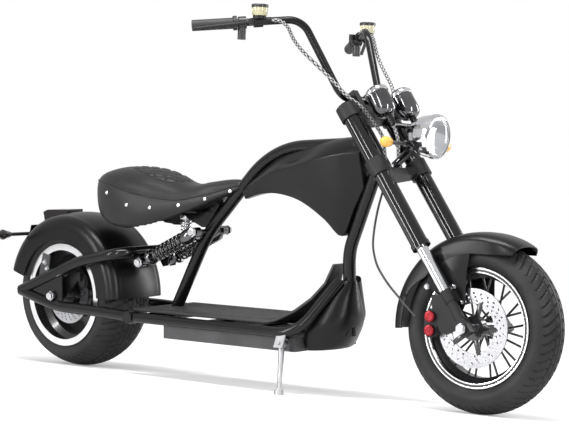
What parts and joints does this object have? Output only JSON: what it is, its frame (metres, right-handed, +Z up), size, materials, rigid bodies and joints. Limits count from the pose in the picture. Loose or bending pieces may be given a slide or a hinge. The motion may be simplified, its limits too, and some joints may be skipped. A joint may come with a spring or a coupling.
{
  "type": "electric chopper scooter",
  "caption": "Long low electric scooter with a wide rear wheel, raked fork, high pulled-back bars and saddle, parked leaning on its side stand.",
  "frame": {"origin": "on the ground, at the centre of the parked vehicle's bounding box", "axes": "+X forward, +Y to the left, +Z up, with the vehicle leaning to its right on the stand"},
  "size_m": [2.1254, 0.836, 1.1248],
  "materials": {
    "frame_black": "satin black powder coat",
    "body_black": "matt black paint",
    "gloss_black": "gloss black enamel",
    "dark_casting": "dark grey cast metal",
    "box_grey": "grey painted steel sheet",
    "board_rubber": "ribbed black rubber mat",
    "saddle_leather": "black leather, stitched in diamonds",
    "steel": "brushed steel",
    "bright_steel": "bright plated steel",
    "cast_silver": "bare cast aluminium",
    "tyre_rubber": "black tyre rubber",
    "rim_black": "black rim with a polished lip",
    "lamp_chrome": "chromed bowl",
    "lamp_glass": "clear lens",
    "amber_lens": "amber plastic",
    "red_lens": "dark red plastic",
    "grip_rubber": "soft black rubber",
    "switch_plastic": "black plastic",
    "fluid_cup": "clear cup with yellowish fluid",
    "hose_rubber": "black rubber hose"
  },
  "bodies": {
    "frame": {"head_tube": "frame_black", "backbone_tube": "frame_black", "down_tube": "frame_black", "side_rail_right": "frame_black", "side_rail_left": "frame_black", "cross_members": "frame_black", "swing_arm_right": "frame_black", "swing_arm_left": "frame_black", "swing_arm_hoop": "frame_black", "rear_axle": "steel", "rear_fender": "body_black", "fender_stays": "box_grey", "tail_lamp": "red_lens", "plate_holder": "frame_black", "rear_signals": "amber_lens", "body_shell": "body_black", "footboard": "board_rubber", "battery_box": "box_grey", "front_cover": "body_black", "seat_cushion": "saddle_leather", "seat_base": "frame_black", "seat_spring": "bright_steel", "shock_left": "bright_steel", "shock_right": "bright_steel", "stand_bracket": "cast_silver", "rear_caliper": "dark_casting"},
    "rear_wheel": {"rear_tyre": "tyre_rubber", "rear_rim": "rim_black", "rear_hub": "rim_black", "rear_disc": "steel"},
    "front_wheel": {"front_tyre": "tyre_rubber", "front_rim": "rim_black", "front_spokes": "rim_black", "front_disc": "steel"},
    "stand": {"side_stand": "cast_silver"},
    "fork": {"steering_stem": "steel", "fork_clamps": "dark_casting", "fork_tubes": "gloss_black", "fork_sliders": "bright_steel", "fork_lowers": "dark_casting", "front_axle": "bright_steel", "front_fender": "body_black", "front_caliper": "dark_casting", "headlamp": "lamp_chrome", "headlamp_lens": "lamp_glass", "gauges": "lamp_chrome", "front_signals": "amber_lens", "lamp_mount": "frame_black", "handlebar": "gloss_black", "bar_clamps": "dark_casting", "grips": "grip_rubber", "brake_controls": "dark_casting", "reservoirs": "fluid_cup", "switches": "switch_plastic", "front_brake_hose": "hose_rubber"}
  },
  "joints": [
    {"name": "steering", "type": "hinge", "parent": "frame", "child": "fork", "pos_m": [0.46367, 0.04942, 0.66593], "axis": [-0.5793, -0.0852, 0.8107], "range_deg": [-38, 26]},
    {"name": "front_wheel_spin", "type": "hinge", "parent": "fork", "child": "front_wheel", "pos_m": [0.82337, 0.09916, 0.23986], "axis": [-0.0894, 0.9952, 0.0407], "continuous": true},
    {"name": "rear_wheel_spin", "type": "hinge", "parent": "frame", "child": "rear_wheel", "pos_m": [-0.80641, 0.09444, 0.23752], "axis": [0, 0.9945, 0.1045], "continuous": true},
    {"name": "side_stand_fold", "type": "hinge", "parent": "frame", "child": "stand", "pos_m": [0.21159, -0.05445, 0.14261], "axis": [0.0077, 0.9574, -0.2886], "range_deg": [0, 104.7]}
  ]
}
